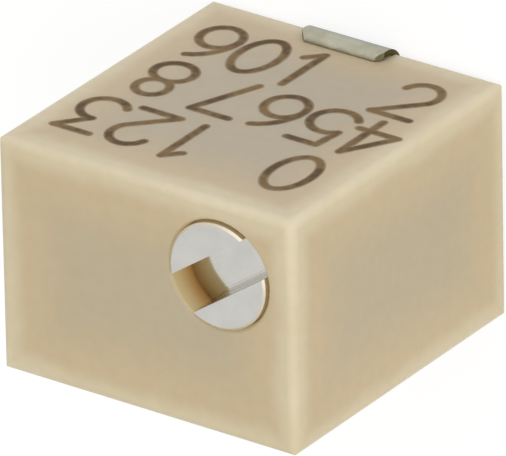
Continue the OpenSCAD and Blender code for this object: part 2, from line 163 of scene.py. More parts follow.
class Shader:
    """Nodes of a material or a world."""

    def __init__(self, owner):
        self.owner = owner
        owner.use_nodes = True
        self.tree = owner.node_tree
        self.tree.nodes.clear()

    def node(self, kind, settings=None, inputs=None, output=None):
        """Adds a node, applies its settings, fills its inputs and returns one of its outputs."""
        made = self.tree.nodes.new(kind)
        for name, value in (settings or {}).items():
            if name == "stops":
                set_stops(made.color_ramp, value)
            else:
                setattr(made, name, value)
        live = [s for s in made.inputs if s.enabled]
        for key, value in (inputs or {}).items():
            target = live[key] if isinstance(key, int) else next(s for s in live if s.name == key)
            if isinstance(value, Socket):
                self.tree.links.new(value.socket, target)
            else:
                fill(target, value)
        results = [s for s in made.outputs if s.enabled]
        if not results:
            return None
        return Socket(self, made.outputs[output] if output else results[0])

    def math(self, operation, *terms):
        """Math node, or a Vector Math node where a term is a vector."""
        vector = any(isinstance(t, Socket) and t.socket.type == "VECTOR" for t in terms)
        kind = "ShaderNodeVectorMath" if vector else "ShaderNodeMath"
        return self.node(kind, {"operation": operation}, dict(enumerate(terms)))

    def position(self):
        """Place on the piece, in millimetres."""
        return self.node("ShaderNodeTexCoord", output="Object") * (1 / MM)

    def split(self, vector):
        """X, Y and Z of a vector."""
        parts = self.tree.nodes.new("ShaderNodeSeparateXYZ")
        self.tree.links.new(vector.socket, parts.inputs[0])
        return [Socket(self, s) for s in parts.outputs]

    def noise(self, vector, scale, detail=2.0, roughness=0.5):
        """Noise around 0.5, with a scale in features per millimetre."""
        return self.node("ShaderNodeTexNoise", None, {
            "Vector": vector, "Scale": scale, "Detail": detail, "Roughness": roughness})

    def line_noise(self, value, scale):
        """Noise that changes only along one distance, as tool marks do."""
        return self.node("ShaderNodeTexNoise", {"noise_dimensions": "1D"},
                         {"W": value, "Scale": scale, "Detail": 2.0})

    def step(self, value, low, high):
        """Smooth step from 0 at low to 1 at high. High may be below low."""
        return self.node("ShaderNodeMapRange", {"interpolation_type": "SMOOTHSTEP"},
                         {"Value": value, "From Min": low, "From Max": high})

    def mix(self, factor, first, second):
        """Colour between first and second."""
        return self.node("ShaderNodeMix", {"data_type": "RGBA"},
                         {"Factor": factor, "A": first, "B": second})

    def tint(self, factor, colour, by):
        """Colour multiplied by another one, as far as factor says."""
        return self.node("ShaderNodeMix", {"data_type": "RGBA", "blend_type": "MULTIPLY"},
                         {"Factor": factor, "A": colour, "B": by})

    def ramp(self, value, stops):
        """Colour that a value picks from stops, each a place and a colour."""
        return self.node("ShaderNodeValToRGB", {"stops": stops}, {"Fac": value})

    def bump(self, height, depth, normal=None):
        """Normal of a relief whose height runs from 0 to 1 over a depth in metres."""
        inputs = {"Height": height, "Distance": depth, "Strength": 1.0}
        if normal:
            inputs["Normal"] = normal
        return self.node("ShaderNodeBump", None, inputs)

    def soft_edges(self, radius):
        """Normal that rounds the piece's sharp edges over a radius in metres."""
        return self.node("ShaderNodeBevel", {"samples": 6}, {"Radius": radius})

    def surface(self, **inputs):
        """Principled surface. An input's spaces are written as underscores."""
        named = {name.replace("_", " "): value for name, value in inputs.items()}
        shader = self.node("ShaderNodeBsdfPrincipled", None, named)
        self.node("ShaderNodeOutputMaterial", None, {"Surface": shader})
        return self.owner


def new_shader(name):
    """Shader of a new material."""
    return Shader(bpy.data.materials.new(name))


def set_stops(ramp, stops):
    """Gives a ramp its stops, each a place and a colour."""
    ramp.interpolation = "EASE"
    while len(ramp.elements) < len(stops):
        ramp.elements.new(0.5)
    for element, (place, colour) in zip(ramp.elements, stops):
        element.position = place
        element.color = (*colour, 1)


def fill(target, value):
    """Sets a socket's own value from a number or a tuple."""
    if target.type == "RGBA" and len(value) == 3:
        target.default_value = (*value, 1)
    elif target.type == "VECTOR" and isinstance(value, (int, float)):
        target.default_value = (value,) * 3
    else:
        target.default_value = value


def darker(colour, factor):
    """Colour whose channels are the given one's times a factor."""
    return tuple(channel * factor for channel in colour)


def speckle(shader, value, low, high, dark):
    """Tint that runs from dark where a noise is low to none where it is high."""
    return shader.ramp(value, [(low, dark), (high, WHITE)])


def dress(material, *nodes):
    """Gives the CAD solids of these names a material."""
    for name in nodes:
        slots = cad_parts[name].material_slots
        if not slots:
            raise RuntimeError(f"{name} has no material slot")
        for slot in slots:
            slot.material = material


# Housing

class HousingSettings(bpy.types.PropertyGroup):
    """Colours and finish of the moulded housing."""
    # The tones from rim to middle are painted light: paler towards the edges, where light shines
    # through
    rim: paint("Rim", "Pale tone on the very edges, where light shines through", 218, 206, 175)
    edge: paint("Edge", "Tone close to the edges", 211, 197, 163)
    band: paint("Band", "Warm tone between the edges and the middle", 199, 179, 142)
    middle: paint("Middle", "Greyer tone over the thick middle of a face", 187, 173, 143)
    # Tones of the bore: painted shade, browner and darker down the bore, and a painted glow
    mouth: paint("Bore's mouth", "Amber tone at the mouth of the screw's bore", 192, 175, 131)
    bore: paint("Bore", "Brown tone down in the screw's bore", 188, 137, 68)
    bore_reach: length("Bore reach", "Depth that the bore's tone darkens over", 0.5)
    glow: share("Glow", "Light that the translucent plastic passes on into the bore", 0.45)
    glow_reach: length("Glow reach", "Depth that the light fades over in the bore", 0.65)
    edge_reach: length("Edge reach", "Distance that the pale edge fades over", 0.45)
    middle_reach: length("Middle reach", "Distance from an edge to the even middle", 1.4)
    roughness: share("Roughness", "Roughness of the moulded skin", 0.46)


def edge_distance(shader, position):
    """Distance in millimetres from a point of the housing's skin to the nearest edge."""
    half = (HOUSING_HIGH - HOUSING_LOW) / 2 / MM
    centre = BODY_CENTRE / MM
    depth = tuple(half) - abs(position - tuple(centre))
    x, y, z = shader.split(depth)
    # On the skin the least of the three depths is 0, so their sum without the greatest is the
    # distance to the nearest edge
    return x + y + z - x.math("MAXIMUM", y).math("MAXIMUM", z)


# Scales of the plastic's noises, in features per millimetre
CLOUD_SCALE = 0.9
MOTTLE_SCALE = 5.0
GRAIN_SCALE = 38.0

# Painted shade that makes the marked face greyer and cooler than the rest. Its tints multiply the
# plastic's colour. Its lengths are the depth behind the face where it ends, and the distances from
# an edge that its tone changes between, in millimetres.
FRONT_SHADE = (0.935, 0.95, 1.08)
FRONT_SHADE_AT_EDGE = (1.015, 1.03, 1.12)
FRONT_SHADE_DEPTH = 0.12
FRONT_SHADE_EDGE = (0.2, 0.8)

# Painted shade in the bore: the share of the bore's tone that is kept. A painted glow, standing in
# for light that the translucent plastic passes on, adds the rest, and is full down to a depth in
# millimetres.
BORE_SHADE = (0.64, 0.62, 0.57)
GLOW_DEPTH = 0.1
# Where the bore's painted shade, glow and rougher wall fade in: radii in shares of the screw
# head's, depths under the top and heights over the housing's foot in millimetres
BORE_RADII = (1.09, 1.07)
BORE_MOUTH = (0.005, 0.03)
BORE_FOOT = (0.1, 0.2)


def plastic_tone(shader, settings, distance, mottle):
    """Colour of the plastic at a distance in millimetres from the nearest edge, with painted light.
    """
    fade = settings.edge_reach / settings.middle_reach
    # Painted light: pale at the edges, where light shines through the translucent plastic, greyer
    # over a face's thick middle
    tones = shader.ramp(distance / (settings.middle_reach / MM), [
        (0.0, settings.rim),
        (fade * 0.3, settings.edge),
        (fade, settings.band),
        (1.0, settings.middle)])
    return shader.tint(0.5, tones, speckle(shader, mottle, 0.3, 0.7, (0.93, 0.92, 0.91)))


def with_front_shade(shader, base, position, distance, clouds):
    """Colour of the plastic with painted shade, greyer and cooler, on the marked face."""
    front = HOUSING_LOW.y / MM
    on_front = shader.step(shader.split(position)[1], front + FRONT_SHADE_DEPTH, front)
    # Painted shade: greyer and cooler over the marked face, cooler still near an edge
    front_shade_tint = shader.mix(shader.step(distance, *FRONT_SHADE_EDGE), FRONT_SHADE_AT_EDGE, FRONT_SHADE)
    return shader.tint(on_front * (clouds * 0.5 + 0.6), base, front_shade_tint)


def bore_mask(shader, position, depth):
    """1 on the wall of the screw's bore below its mouth, and 0 on the rest of the housing."""
    across = (position - tuple(SCREW_AXIS / MM)) * (1, 1, 0)
    outer, inner = (HEAD_RADIUS / MM * ratio for ratio in BORE_RADII)
    inside = shader.step(across.math("LENGTH"), outer, inner)
    low, high = (HOUSING_LOW.z / MM + height for height in BORE_FOOT)
    over_foot = shader.step(shader.split(position)[2], low, high)
    return inside * shader.step(depth, *BORE_MOUTH) * over_foot


def housing_material(settings):
    """Cream plastic, painted paler at its edges, with a bore painted brown as shade and a painted
    glow.
    """
    shader = new_shader("moulded_cream_plastic")
    position = shader.position()
    clouds = shader.noise(position, CLOUD_SCALE)
    mottle = shader.noise(position, MOTTLE_SCALE, detail=4.0, roughness=0.6)
    grain = shader.noise(position, GRAIN_SCALE, detail=3.0, roughness=0.65)
    distance = edge_distance(shader, position) + (clouds - 0.5) * 0.25
    base = plastic_tone(shader, settings, distance, mottle)
    base = with_front_shade(shader, base, position, distance, clouds)

    # Painted shade and light in the bore: its wall is painted brown, darker with depth, and its
    # emission is a painted glow for the light that the translucent plastic passes on
    depth = HOUSING_HIGH.z / MM - shader.split(position)[2]
    in_bore = bore_mask(shader, position, depth)
    down = shader.step(depth, 0.0, settings.bore_reach / MM)
    wall = shader.mix(down, settings.mouth, settings.bore)
    base = shader.mix(in_bore, base, shader.tint(1.0, wall, BORE_SHADE))
    lit = in_bore * shader.step(depth, settings.glow_reach / MM, GLOW_DEPTH)
    return shader.surface(
        Base_Color=base,
        Roughness=settings.roughness + (grain - 0.5) * 0.12 + in_bore * 0.4,
        IOR=1.5,
        Subsurface_Weight=0.25,
        Subsurface_Radius=(1.0, 0.7, 0.4),
        Subsurface_Scale=0.3 * MM,
        # Painted glow in the bore
        Emission_Color=shader.mix(lit, (0, 0, 0), wall),
        Emission_Strength=settings.glow,
        Normal=shader.bump(grain * 0.6 + mottle * 0.4, 0.0022 * MM))


class TRIMMER_OT_housing(bpy.types.Operator):
    """Gives the housing its moulded, slightly translucent plastic"""
    bl_idname = "trimmer.housing"
    bl_label = "Housing"

    def execute(self, context):
        dress(housing_material(context.scene.trimmer_housing), "housing")
        return {"FINISHED"}


# Marking

class MarkingSettings(bpy.types.PropertyGroup):
    """Size and colour of the numerals burnt into the front."""
    height: length("Height", "Height of a numeral", 1.03)
    width: length("Width", "Width of a numeral", 0.62)
    stroke: length("Stroke", "Width of the burnt line", 0.09)
    scorch_width: length("Scorch width", "Width of the line with the browned plastic", 0.14)
    proud: length("Proud", "Height of the burnt line over the face", 0.003)
    burn: paint("Burn", "Brown of the burnt line", 122, 97, 60)
    char: paint("Char", "Darkest brown, where the beam lingered", 80, 58, 30)
    scorch: paint("Scorch", "Light brown of the plastic beside the line", 152, 131, 98)
    scorch_deep: paint("Deep scorch", "Browner patches beside the line", 130, 107, 73)


# Degrees in a step of an arc
ARC_STEP = 9
FEWEST_ARC_STEPS = 6


def arc(x, y, radius_x, radius_y, start, end):
    """Points of an elliptical arc between two angles in degrees."""
    steps = max(FEWEST_ARC_STEPS, int(abs(end - start) / ARC_STEP))
    turns = [math.radians(start + (end - start) * k / steps) for k in range(steps + 1)]
    return [(x + radius_x * math.cos(t), y + radius_y * math.sin(t)) for t in turns]


def ring(x, y, radius_x, radius_y):
    """Closed ellipse, as two strokes."""
    return [arc(x, y, radius_x, radius_y, 90, 270), arc(x, y, radius_x, radius_y, 270, 450)]


# Strokes of each numeral, in a cell whose sides are 1. A stroke is a list of points.
NUMERALS = {
    "0": ring(0.5, 0.5, 0.48, 0.5),
    "1": [[(0.22, 0.8), (0.55, 1), (0.55, 0)]],
    "2": [arc(0.5, 0.71, 0.46, 0.29, 165, -38) + [(0, 0), (1, 0)]],
    "3": [[(0.04, 1), (0.96, 1), (0.42, 0.61)] + arc(0.46, 0.305, 0.52, 0.305, 95, -150)],
    "4": [[(0.72, 0), (0.72, 1), (0, 0.3), (1, 0.3)]],
    "5": [[(0.92, 1), (0.16, 1), (0.08, 0.56)] + arc(0.45, 0.325, 0.53, 0.325, 128, -148)],
    "6": [arc(1.05, 0.31, 1.03, 0.69, 110, 180)] + ring(0.5, 0.31, 0.48, 0.31),
    "7": [[(0, 1), (1, 1), (0.34, 0)]],
    "8": ring(0.5, 0.77, 0.38, 0.23) + ring(0.5, 0.27, 0.48, 0.27),
    "9": [arc(-0.05, 0.69, 1.03, 0.69, -70, 0)] + ring(0.5, 0.69, 0.48, 0.31),
}

# Rows of the marking: numerals, and the place of each one's middle, in millimetres from the middle
# of the front. The last row is read with the part turned over.
MARKING_ROWS = [
    {"height": 1.28, "turned": False,
     "numerals": [("0", -1.55), ("1", 0.18), ("2", 0.92), ("3", 1.68)]},
    {"height": -0.1, "turned": False,
     "numerals": [("4", -1.85), ("5", -1.12), ("6", -0.36), ("7", 0.4), ("8", 1.5)]},
    {"height": -1.35, "turned": True,
     "numerals": [("9", 1.58), ("0", 0.83), ("1", 0.12), ("2", -1.66)]},
]
SHARP_TURN = math.radians(25)
CAP_STEPS = 8
# Corners of the outlines that are nearer than this, in millimetres, become one
WELD = 1e-4
# Kind of result that covers the outlines' convex hull with triangles
HULL_TRIANGLES = 0


def smooth_runs(points):
    """Splits a line at its sharp corners."""
    runs = [[points[0]]]
    for before, point, after in zip(points, points[1:], points[2:]):
        runs[-1].append(point)
        if (point - before).angle(after - point) > SHARP_TURN:
            runs.append([point])
    runs[-1].append(points[-1])
    return runs


def band_outline(path, width):
    """Outline of a band with round ends that follows a smooth path."""
    half = width / 2
    ways = [(after - before).normalized() for before, after in zip(path, path[1:])]
    means = [(a + b).normalized() for a, b in zip(ways[:1] + ways, ways + ways[-1:])]
    sides = [Vector((-way.y, way.x)) * half for way in means]

    def cap(centre, side):
        """Half circle round an end of the path, from one side of it to the other."""
        turns = [math.pi * k / CAP_STEPS for k in range(1, CAP_STEPS)]
        return [centre + Matrix.Rotation(-turn, 2) @ side for turn in turns]

    left = [point + side for point, side in zip(path, sides)]
    right = [point - side for point, side in zip(path, sides)]
    return (left + cap(path[-1], sides[-1]) + right[::-1] + cap(path[0], -sides[0]))[::-1]


def add_plate(mesh, outlines, high, low):
    """Adds the union of flat outlines as one closed plate on the front, between two places in Y."""
    points = [point for outline in outlines for point in outline]
    starts = [sum(len(o) for o in outlines[:k]) for k in range(len(outlines))]
    rings = [list(range(start, start + len(o))) for start, o in zip(starts, outlines)]
    flat, _, faces, _, _, sources = delaunay_2d_cdt(points, [], rings, HULL_TRIANGLES, WELD)
    # A triangle outside all outlines has no source
    faces = [face for face, source in zip(faces, sources) if source]
    used = sorted({index for face in faces for index in face})
    top = {k: mesh.verts.new((flat[k].x * MM, high, flat[k].y * MM)) for k in used}
    bottom = {k: mesh.verts.new((flat[k].x * MM, low, flat[k].y * MM)) for k in used}
    edges = {(face[k - 1], face[k]) for face in faces for k in range(len(face))}
    for face in faces:
        mesh.faces.new([top[k] for k in face])
        mesh.faces.new([bottom[k] for k in reversed(face)])
    for a, b in edges:
        if (b, a) not in edges:
            mesh.faces.new((top[b], top[a], bottom[a], bottom[b]))


def numeral_outlines(numeral, middle, sign, settings, stroke_width):
    """Outlines of a numeral's strokes, in millimetres. Sign -1 turns it upside down."""
    size = Vector((settings.width, settings.height)) / MM
    cell_middle = Vector((0.5, 0.5))
    outlines = []
    for stroke in NUMERALS[numeral]:
        points = [middle + sign * (Vector(point) - cell_middle) * size for point in stroke]
        outlines += [band_outline(run, stroke_width / MM) for run in smooth_runs(points)]
    return outlines


def marking_mesh(name, settings, stroke_width, proud):
    """All the numerals as closed plates that stand proud of the front by a height."""
    mesh = bmesh.new()
    high = HOUSING_LOW.y - proud
    low = HOUSING_LOW.y + settings.proud
    for row in MARKING_ROWS:
        sign = -1 if row["turned"] else 1
        for numeral, place in row["numerals"]:
            middle = Vector((BODY_CENTRE.x / MM + place, BODY_CENTRE.z / MM + row["height"]))
            outlines = numeral_outlines(numeral, middle, sign, settings, stroke_width)
            add_plate(mesh, outlines, high, low)
    data = bpy.data.meshes.new(name)
    mesh.to_mesh(data)
    mesh.free()
    return data


def marking_material(name, dark, light):
    """Burnt plastic, darker where the beam lingered."""
    shader = new_shader(name)
    position = shader.position()
    dots = shader.noise(position, scale=9.0, detail=3.0, roughness=0.6)
    strength = shader.noise(position, scale=1.7)
    base = shader.mix(shader.step(dots * 0.4 + strength * 0.6, 0.4, 0.6), dark, light)
    return shader.surface(Base_Color=base, Roughness=0.7, Normal=shader.bump(dots, 0.002 * MM))


class TRIMMER_OT_marking(bpy.types.Operator):
    """Burns three rows of plain numerals into the front face"""
    bl_idname = "trimmer.marking"
    bl_label = "Marking"

    def execute(self, context):
        settings = context.scene.trimmer_marking
        burnt = marking_material("burnt_marking", settings.char, settings.burn)
        scorched = marking_material("scorched_plastic", settings.scorch_deep, settings.scorch)
        for name, material, width, proud in (
                ("marking", burnt, settings.stroke, settings.proud),
                ("marking_scorch", scorched, settings.scorch_width, settings.proud / 2)):
            marking = bpy.data.objects.new(name, marking_mesh(name, settings, width, proud))
            context.scene.collection.objects.link(marking)
            marking.data.materials.append(material)
            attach(marking, "body")
        return {"FINISHED"}


# Metal pieces

class MetalSettings(bpy.types.PropertyGroup):
    """Colours of the screw, terminals, clip and wiper."""
    nickel: paint("Nickel", "Plating of the adjustment screw", 203, 201, 195)
    tin: paint("Tin", "Plating of the terminals", 187, 185, 166)
    tin_dull: paint("Dull tin", "Duller patches of the terminals", 168, 165, 145)
    bare: paint("Bare edge", "Bare bronze where a terminal was cut from its strip", 98, 86, 50)
    slot_angle: angle("Slot angle", "Turn of the driver slot from the body's length", 35.0)
    slot_width: length("Slot width", "Width of the driver slot", 0.59)
    # Painted reflection: the bevel's warm tone stands in for the housing mirrored in it
    rim_reflection: paint("Rim tone", "Warm tone of the head's bevel, from the housing round it",
                    212, 202, 184)
    steel: paint("Steel", "Retaining clip", 172, 172, 170)
    wiper: paint("Wiper alloy", "Spring alloy of the wiper", 214, 186, 132)
    solder: paint("Solder", "Joints on the element", 178, 180, 178)


# Where the screw's finishes, and the painted reflection on its bevel, start and where they are
# full,
# in millimetres: the slot's under the head's top, its wall's inside half the slot's width, and the
# bevel's inside the head's radius
SLOT_DEPTHS = (0.1, 0.2)
WALL_INSETS = (0.012, 0.004)
BEVEL_INSETS = (0.034, 0.022)


def screw_material(settings):
    """Nickel plating with a turned head, a bevelled rim with a painted reflection, and a milled
    slot.
    """
    shader = new_shader("satin_nickel")
    position = shader.position()
    x, y, height = shader.split(position - tuple(SCREW_AXIS / MM))
    radius = (x * x + y * y).math("SQRT")
    across = abs(y * math.cos(settings.slot_angle) - x * math.sin(settings.slot_angle))
    top = (SCREW_HIGH.z - SCREW_AXIS.z) / MM
    rim = HEAD_RADIUS / MM
    half = settings.slot_width / 2 / MM
    in_slot = shader.step(height, *(top - depth for depth in SLOT_DEPTHS))
    wall = in_slot * shader.step(across, *(half - inset for inset in WALL_INSETS))
    bevel = shader.step(radius, *(rim - inset for inset in BEVEL_INSETS)) * (1 - in_slot)
    turned = shader.line_noise(radius, scale=60.0)
    milled = shader.line_noise(across, scale=30.0)
    cloud = shader.noise(position, scale=3.0, detail=3.0)
    clouded = speckle(shader, cloud, 0.3, 0.7, (0.88, 0.88, 0.88))
    scored = speckle(shader, milled, 0.35, 0.65, (0.96, 0.96, 0.95))
    base = shader.tint(0.6, settings.nickel, clouded)
    base = shader.tint(in_slot * 0.5, base, scored)
    base = shader.tint(wall, base, (0.95, 0.93, 0.9))
    # Painted reflection: the bevel takes a warm tone for the housing mirrored in it
    base = shader.mix(bevel, base, settings.rim_reflection)
    roughness = 0.3 - in_slot * 0.2 + wall * 0.1 + bevel * 0.15 + (cloud - 0.5) * 0.08
    normal = shader.bump(turned * (1 - in_slot) + milled * in_slot, 0.0008 * MM)
    return shader.surface(Base_Color=base, Metallic=1.0, Roughness=roughness, Normal=normal)


# Radius of the soft edges of sheet metal
SOFT_EDGE = 0.015 * MM
# Tint of painted shade on the plating where a terminal faces down, on its underside and round its
# bend, and how far down a surface has to face for it
UNDER_SHADE = (0.68, 0.7, 0.79)
UNDER_SHADE_FACING = (-0.02, -0.35)
# How far sideways a surface has to face to be a terminal's cut edge
CUT_FACING = (0.6, 0.8)


def metal_material(name, colour, dull, roughness, relief, bare=None):
    """Metal with dull patches and a relief whose depth is in millimetres.

    Bare is the colour of a terminal's cut edges, and a metal with it also gets painted shade where
    it faces down. A metal without it is the same all round.
    """
    shader = new_shader(name)
    position = shader.position()
    patches = shader.noise(position, scale=2.6, detail=4.0, roughness=0.6)
    fine = shader.noise(position, scale=30.0, roughness=0.6)
    base = shader.mix(shader.step(patches, 0.35, 0.65), dull, colour)
    roughness = roughness + (patches - 0.5) * 0.2
    if bare:
        facing = shader.split(shader.node("ShaderNodeTexCoord", output="Normal"))
        # Painted shade: darker and cooler where a terminal faces down
        base = shader.tint(shader.step(facing[2], *UNDER_SHADE_FACING), base, UNDER_SHADE)
        cut_edge = shader.step(abs(facing[0]), *CUT_FACING)
        torn = speckle(shader, fine, 0.3, 0.7, (0.7, 0.68, 0.6))
        base = shader.mix(cut_edge, base, shader.tint(1.0, bare, torn))
        roughness = roughness + cut_edge * 0.2
    height = fine * 0.4 + patches * 0.6
    normal = shader.bump(height, relief * MM, shader.soft_edges(SOFT_EDGE))
    return shader.surface(Base_Color=base, Metallic=1.0, Normal=normal, Roughness=roughness)


class TRIMMER_OT_screw(bpy.types.Operator):
    """Gives the adjustment screw its satin nickel"""
    bl_idname = "trimmer.screw"
    bl_label = "Adjustment screw"

    def execute(self, context):
        dress(screw_material(context.scene.trimmer_metal), "adjustment_screw")
        return {"FINISHED"}


class TRIMMER_OT_terminals(bpy.types.Operator):
    """Tins the three terminals and finishes their solder joints"""
    bl_idname = "trimmer.terminals"
    bl_label = "Terminals and solder"

    def execute(self, context):
        metal = context.scene.trimmer_metal
        tin = metal_material("tin_plating", metal.tin, metal.tin_dull,
                             roughness=0.38, relief=0.012, bare=metal.bare)
        solder = metal_material("solder", metal.solder, darker(metal.solder, 0.75),
                                roughness=0.32, relief=0.006)
        for number in (1, 2, 3):
            dress(tin, f"terminal_{number}")
            dress(solder, f"solder_joint_{number}")
        return {"FINISHED"}


class TRIMMER_OT_clip(bpy.types.Operator):
    """Gives the retaining clip its blanked steel"""
    bl_idname = "trimmer.clip"
    bl_label = "Retaining clip"

    def execute(self, context):
        metal = context.scene.trimmer_metal
        steel = metal_material("clip_steel", metal.steel, darker(metal.steel, 0.8),
                               roughness=0.34, relief=0.003)
        dress(steel, "retaining_clip")
        return {"FINISHED"}


class TRIMMER_OT_wiper(bpy.types.Operator):
    """Gives the wiper its spring alloy"""
    bl_idname = "trimmer.wiper"
    bl_label = "Wiper"

    def execute(self, context):
        metal = context.scene.trimmer_metal
        alloy = metal_material("spring_alloy", metal.wiper, darker(metal.wiper, 0.8),
                               roughness=0.28, relief=0.002)
        dress(alloy, "wiper")
        return {"FINISHED"}


# Plastic, rubber, compound and ceramic pieces

class InsideSettings(bpy.types.PropertyGroup):
    """Colours of the sealing compound and the pieces inside."""
    compound: paint("Compound", "Sealing compound behind the element", 196, 176, 132)
    compound_deep: paint("Deep compound", "Sealing compound where it is thickest", 183, 161, 115)
    skin: length("Skin", "Thickness of the compound's cast skin over its even fill", 0.024)
    meniscus: length("Meniscus", "Rise of the skin where it wets the rim", 0.022)
    meniscus_reach: length("Meniscus reach", "Distance from the rim that the rise fades over", 0.1)
    sag: length("Sag", "Dip of the skin in the middle", 0.006)
    bubble: length("Bubble", "Largest radius of the craters that bubbles left", 0.1)
    rubber: paint("Rubber", "Seal ring", 122, 72, 52)
    wheel: paint("Wheel", "Worm wheel", 232, 228, 214)
    alumina: paint("Alumina", "Ceramic substrate", 240, 238, 230)
    resistor: paint("Resistor print", "Resistive track", 58, 56, 58)
    conductor: paint("Conductor print", "Collector and track ends", 196, 196, 192)


# Painted shade in a crater. It starts under this share of the skin's thickness and ends between
# these heights over the even fill, in millimetres, so that the fill itself stays clear of it.
CRATER_SHADE = (0.74, 0.67, 0.54)
CRATER_TOP = 0.6
CRATER_FLOOR = (0.0005, 0.0015)


def compound_material(settings):
    """Cast compound with flow marks and fine specks of filler, with painted shade in its craters.
    """
    shader = new_shader("cast_compound")
    position = shader.position()
    flow = shader.noise(position, scale=1.1, detail=3.0, roughness=0.55)
    specks = shader.noise(position, scale=14.0)
    base = shader.mix(shader.step(flow, 0.25, 0.75), settings.compound_deep, settings.compound)
    base = shader.tint(0.6, base, speckle(shader, specks, 0.35, 0.6, (0.94, 0.93, 0.9)))

    skin = settings.skin / MM
    rise = shader.split(position)[1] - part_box("back_seal")[1].y / MM
    # Painted shade darkens the craters, and the skin is paler where it climbs the rim
    in_crater = shader.step(rise, CRATER_TOP * skin, 0) * shader.step(rise, *CRATER_FLOOR)
    base = shader.tint(in_crater, base, CRATER_SHADE)
    at_rim = shader.step(rise, skin, skin + settings.meniscus / MM)
    base = shader.mix(at_rim * 0.5, base, settings.compound)
    return shader.surface(
        Base_Color=base,
        Roughness=0.24 + (flow - 0.5) * 0.2,
        IOR=1.55,
        Coat_Weight=0.3,
        Coat_Roughness=0.12,
        Normal=shader.bump(flow * 0.8 + specks * 0.2, 0.01 * MM))


def plain_material(name, colour, roughness, contrast, scale, relief):
    """Material whose colour and relief vary over patches. The relief's depth is in millimetres."""
    shader = new_shader(name)
    position = shader.position()
    patches = shader.noise(position, scale, detail=4.0, roughness=0.6)
    base = shader.mix(shader.step(patches, 0.3, 0.7), darker(colour, 1 - contrast), colour)
    return shader.surface(
        Base_Color=base,
        Roughness=roughness + (patches - 0.5) * 0.15,
        Normal=shader.bump(patches, relief * MM))


SKIN_CELL = 0.03 * MM
# Number of bubbles, and the shares of the skin's size and of the largest radius that their places
# and sizes lie between
BUBBLES = 18
BUBBLE_SEED = 7
BUBBLE_PLACES = (0.05, 0.95)
BUBBLE_SIZES = (0.3, 1)
# Depth of a crater in shares of the skin's height there
CRATER_DEPTH = 0.9
# Reach of the skin's dip in reaches of its meniscus, and its ripple in shares of its sag
DIP_REACH = 6
RIPPLE = 0.3


def rim_distance(place, size, notches):
    """Distance from a place on the skin to the rim. The rim's foot is open at the notches."""
    foot = place.y
    for start, end in notches:
        if start < place.x < end:
            foot = math.hypot(foot, min(place.x - start, end - place.x))
    return min(place.x, size.x - place.x, size.y - place.y, foot)


def skin_height(settings, size, notches):
    """Function that gives the height of the compound's skin over its even fill at a place."""
    chance = Random(BUBBLE_SEED)

    def bubble():
        """Centre and radius of a bubble's crater."""
        across = chance.uniform(*BUBBLE_PLACES) * size.x
        up = chance.uniform(*BUBBLE_PLACES) * size.y
        return Vector((across, up)), settings.bubble * chance.uniform(*BUBBLE_SIZES) ** 2

    bubbles = [bubble() for _ in range(BUBBLES)]

    def height(place):
        """Height of the skin at a place."""
        edge = rim_distance(place, size, notches)
        rise = settings.meniscus * math.exp(-edge / settings.meniscus_reach)
        dip = settings.sag * (1 - math.exp(-edge / (DIP_REACH * settings.meniscus_reach)))
        ripple = RIPPLE * settings.sag * noise.noise(Vector((place.x, 0, place.y)) / MM)
        even = settings.skin + rise - dip + ripple
        for centre, radius in bubbles:
            across = (place - centre).length / radius
            if across < 1:
                even *= 1 - CRATER_DEPTH * math.sqrt(1 - across ** 2)
        return even

    return height


def skin_mesh(settings):
    """Closed plate over the compound's fill. It climbs at the rim, sags and has a few craters."""
    low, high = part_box("back_seal")
    rim = HOUSING_HIGH.z - high.z
    corner = Vector((low.x, HOUSING_LOW.z + rim))
    size = Vector((high.x, high.z)) - corner
    feet = [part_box(name) for name in ("terminal_1", "terminal_3")]
    notches = [(start.x - corner.x, end.x - corner.x) for start, end in feet]
    height = skin_height(settings, size, notches)
    columns, rows = (round(side / SKIN_CELL) for side in size)
    mesh = bmesh.new()

    def vertex(i, k):
        """Vertex of the skin at a corner of its grid."""
        place = Vector((size.x * i / columns, size.y * k / rows))
        return mesh.verts.new((corner.x + place.x, high.y + height(place), corner.y + place.y))

    grid = [[vertex(i, k) for k in range(rows + 1)] for i in range(columns + 1)]
    for i in range(columns):
        for k in range(rows):
            cell = grid[i][k], grid[i][k + 1], grid[i + 1][k + 1], grid[i + 1][k]
            mesh.faces.new(cell).smooth = True
    border = [grid[i][0] for i in range(columns)]
    border += [grid[-1][k] for k in range(rows)]
    border += [grid[i][-1] for i in range(columns, 0, -1)]
    border += [grid[0][k] for k in range(rows, 0, -1)]
    sunk = [mesh.verts.new((v.co.x, high.y - settings.skin, v.co.z)) for v in border]
    for k in range(len(border)):
        mesh.faces.new((border[k - 1], border[k], sunk[k], sunk[k - 1]))
    mesh.faces.new(sunk)
    data = bpy.data.meshes.new("sealing_skin")
    mesh.to_mesh(data)
    mesh.free()
    return data


class TRIMMER_OT_sealing(bpy.types.Operator):
    """Gives the compound that fills the back its finish and its cast skin"""
    bl_idname = "trimmer.sealing"
    bl_label = "Sealing compound"

    def execute(self, context):
        settings = context.scene.trimmer_inside
        compound = compound_material(settings)
        dress(compound, "back_seal")
        skin = bpy.data.objects.new("sealing_skin", skin_mesh(settings))
        context.scene.collection.objects.link(skin)
        skin.data.materials.append(compound)
        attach(skin, "body")
        return {"FINISHED"}


class TRIMMER_OT_seal_ring(bpy.types.Operator):
    """Gives the seal ring its rubber"""
    bl_idname = "trimmer.seal_ring"
    bl_label = "Seal ring"

    def execute(self, context):
        rubber = plain_material("seal_rubber", context.scene.trimmer_inside.rubber,
                                roughness=0.62, contrast=0.2, scale=8.0, relief=0.003)
        dress(rubber, "seal_ring")
        return {"FINISHED"}


